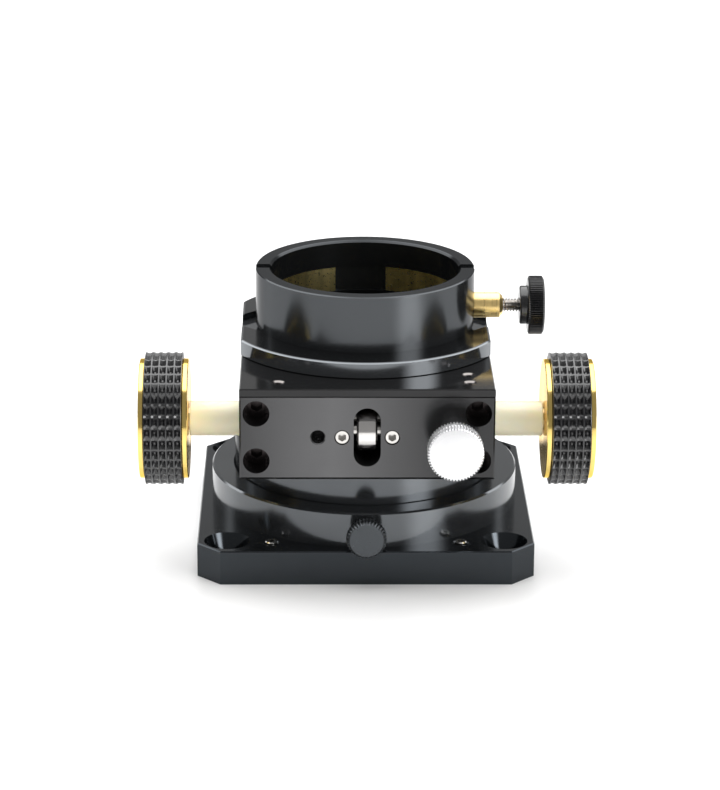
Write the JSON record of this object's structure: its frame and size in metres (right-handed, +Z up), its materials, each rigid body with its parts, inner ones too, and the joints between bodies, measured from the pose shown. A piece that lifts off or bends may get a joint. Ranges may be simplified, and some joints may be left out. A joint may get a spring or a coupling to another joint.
{
  "type": "crayford focuser",
  "caption": "Low-profile two-inch friction-drive telescope focuser: square rotating base, focus shaft with two knurled knobs, flat-sided drawtube collar and eyepiece ring with a clamp screw.",
  "frame": {"origin": "centre of the base plate's underside, on the light path's axis, which is also the centre of the four mounting holes", "axes": "+Z up the light path towards the eyepiece; +X along the focus shaft towards the eyepiece clamp's side; -Y is the front, with the shaft, roller and lock knob"},
  "size_m": [0.1198, 0.105, 0.075],
  "materials": {
    "anodised_black": "satin black anodised",
    "black_knob": "satin black",
    "gold_anodised": "turned, gold anodised",
    "rubber": "moulded, matte",
    "ivory_nylon": "turned, slightly translucent",
    "bright_steel": "ground",
    "black_steel": "black oxide",
    "turned_aluminium": "fine turned, clear",
    "brass": "satin"
  },
  "bodies": {
    "base": {"base_plate": "anodised_black", "base_ring": "anodised_black", "ring_screws": "black_steel", "collimation_screws": "bright_steel"},
    "turret": {"turret_pedestal": "anodised_black", "retaining_ring": "anodised_black", "retaining_screws": "black_steel", "main_body": "anodised_black", "body_screws": "black_steel", "front_housing": "anodised_black", "housing_screws": "black_steel", "top_plate": "anodised_black", "top_plate_screws": "bright_steel", "roller_axle": "bright_steel", "tension_screws": "bright_steel", "guide_races": "bright_steel", "guide_pins": "bright_steel", "carrier_screws": "black_steel", "bearing_carrier_left": "anodised_black", "bearing_carrier_right": "anodised_black", "shaft_bushing_left": "ivory_nylon", "shaft_bushing_right": "ivory_nylon"},
    "focus_shaft": {"focus_shaft": "bright_steel", "focus_knob_left": "gold_anodised", "focus_knob_right": "gold_anodised", "knob_grip_left": "rubber", "knob_grip_right": "rubber", "knob_set_screws": "black_steel"},
    "drawtube": {"drawtube": "anodised_black", "drawtube_collar": "anodised_black", "eyepiece_holder": "anodised_black", "compression_band": "brass", "clamp_bushing": "brass"},
    "pressure_roller": {"pressure_roller": "bright_steel"},
    "guide_bearing_lower_left": {"guide_bearing_lower_left": "bright_steel"},
    "guide_bearing_upper_left": {"guide_bearing_upper_left": "bright_steel"},
    "guide_bearing_lower_right": {"guide_bearing_lower_right": "bright_steel"},
    "guide_bearing_upper_right": {"guide_bearing_upper_right": "bright_steel"},
    "clamp_stud": {"clamp_stud": "bright_steel"},
    "clamp_knob": {"clamp_knob": "black_knob"},
    "lock_stud": {"lock_stud": "bright_steel", "lock_pad": "ivory_nylon"},
    "lock_knob": {"lock_knob": "turned_aluminium"},
    "rotation_stud": {"rotation_stud": "bright_steel"},
    "rotation_knob": {"rotation_knob": "black_knob"}
  },
  "joints": [
    {"name": "turret_rotation", "type": "hinge", "parent": "base", "child": "turret", "pos_m": [0, 0, 0.0143], "axis": [0, 0, 1], "continuous": true},
    {"name": "focus_drive", "type": "hinge", "parent": "turret", "child": "focus_shaft", "pos_m": [0, -0.031, 0.04195], "axis": [1, 0, 0], "range_deg": [0, 573]},
    {"name": "drawtube_slide", "type": "slide", "parent": "turret", "child": "drawtube", "axis": [0, 0, 1], "range_m": [0, 0.03]},
    {"name": "roller_spin", "type": "hinge", "parent": "turret", "child": "pressure_roller", "pos_m": [0, -0.03974, 0.04195], "axis": [1, 0, 0], "range_deg": [-310, 10]},
    {"name": "clamp_slide", "type": "slide", "parent": "drawtube", "child": "clamp_stud", "axis": [-1, 0, 0], "range_m": [-0.00237, 0.00426]},
    {"name": "clamp_turn", "type": "hinge", "parent": "clamp_stud", "child": "clamp_knob", "pos_m": [0.0465, 0, 0.064], "axis": [-1, 0, 0], "range_deg": [-1070, 1920]},
    {"name": "lock_slide", "type": "slide", "parent": "turret", "child": "lock_stud", "axis": [0, 1, 0], "range_m": [-0.0014, 0.00094]},
    {"name": "lock_turn", "type": "hinge", "parent": "lock_stud", "child": "lock_knob", "pos_m": [0.0226, -0.057, 0.04195], "axis": [0, 1, 0], "range_deg": [-721, 485]},
    {"name": "rotation_slide", "type": "slide", "parent": "base", "child": "rotation_stud", "axis": [0, 1, 0], "range_m": [-0.00105, 0.00116]},
    {"name": "rotation_turn", "type": "hinge", "parent": "rotation_stud", "child": "rotation_knob", "pos_m": [0, -0.048, 0.0143], "axis": [0, 1, 0], "range_deg": [-541, 600]},
    {"name": "guide_lower_left_spin", "type": "hinge", "parent": "turret", "child": "guide_bearing_lower_left", "pos_m": [-0.02308, 0.02308, 0.03545], "axis": [-0.7071, -0.7071, 0], "range_deg": [-10, 440]},
    {"name": "guide_lower_right_spin", "type": "hinge", "parent": "turret", "child": "guide_bearing_lower_right", "pos_m": [0.02308, 0.02308, 0.03545], "axis": [-0.7071, 0.7071, 0], "range_deg": [-10, 440]},
    {"name": "guide_upper_left_spin", "type": "hinge", "parent": "turret", "child": "guide_bearing_upper_left", "pos_m": [-0.02308, 0.02308, 0.04845], "axis": [-0.7071, -0.7071, 0], "range_deg": [-10, 440]},
    {"name": "guide_upper_right_spin", "type": "hinge", "parent": "turret", "child": "guide_bearing_upper_right", "pos_m": [0.02308, 0.02308, 0.04845], "axis": [-0.7071, 0.7071, 0], "range_deg": [-10, 440]}
  ],
  "couplings": [
    {"joint": "focus_drive", "follows": "drawtube_slide", "rad_per_m": 333.33},
    {"joint": "roller_spin", "follows": "drawtube_slide", "rad_per_m": -175.44},
    {"joint": "clamp_turn", "follows": "clamp_slide", "rad_per_m": 7854},
    {"joint": "lock_turn", "follows": "lock_slide", "rad_per_m": 8976},
    {"joint": "rotation_turn", "follows": "rotation_slide", "rad_per_m": 8976},
    {"joint": "guide_lower_left_spin", "follows": "drawtube_slide", "rad_per_m": 250},
    {"joint": "guide_lower_right_spin", "follows": "drawtube_slide", "rad_per_m": 250},
    {"joint": "guide_upper_left_spin", "follows": "drawtube_slide", "rad_per_m": 250},
    {"joint": "guide_upper_right_spin", "follows": "drawtube_slide", "rad_per_m": 250}
  ]
}
